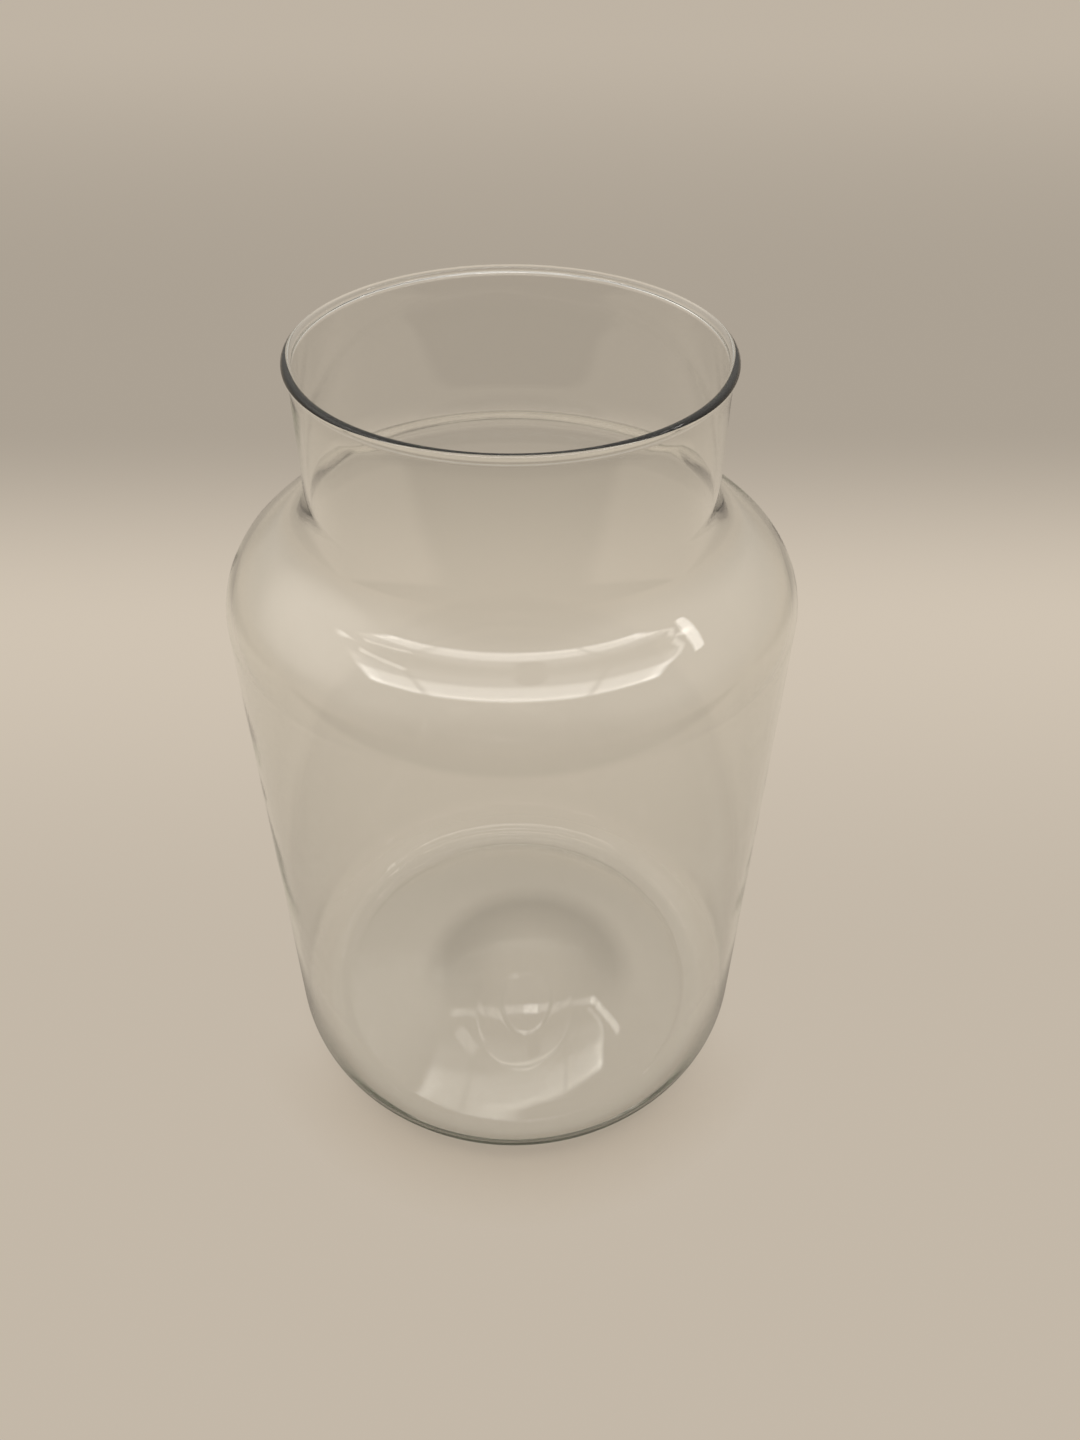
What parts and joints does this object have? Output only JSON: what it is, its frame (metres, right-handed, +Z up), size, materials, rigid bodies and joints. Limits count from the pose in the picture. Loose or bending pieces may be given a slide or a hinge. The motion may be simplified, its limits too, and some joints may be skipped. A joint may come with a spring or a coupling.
{
  "type": "gas jar",
  "caption": "One-piece clear glass jar: straight round body, rounded heel and shoulder, short wide neck with a small beaded rim, pushed-up base.",
  "frame": {"origin": "centre of the ring that the jar stands on", "axes": "+Z up along the jar's axis, X and Y across it; the body is round, so X and Y may be swapped"},
  "size_m": [0.15, 0.15, 0.2365],
  "materials": {
    "glass": "clear blown glass with a faint green cast, smooth, fire-polished rim"
  },
  "bodies": {
    "root": {"jar": "glass"}
  },
  "joints": []
}
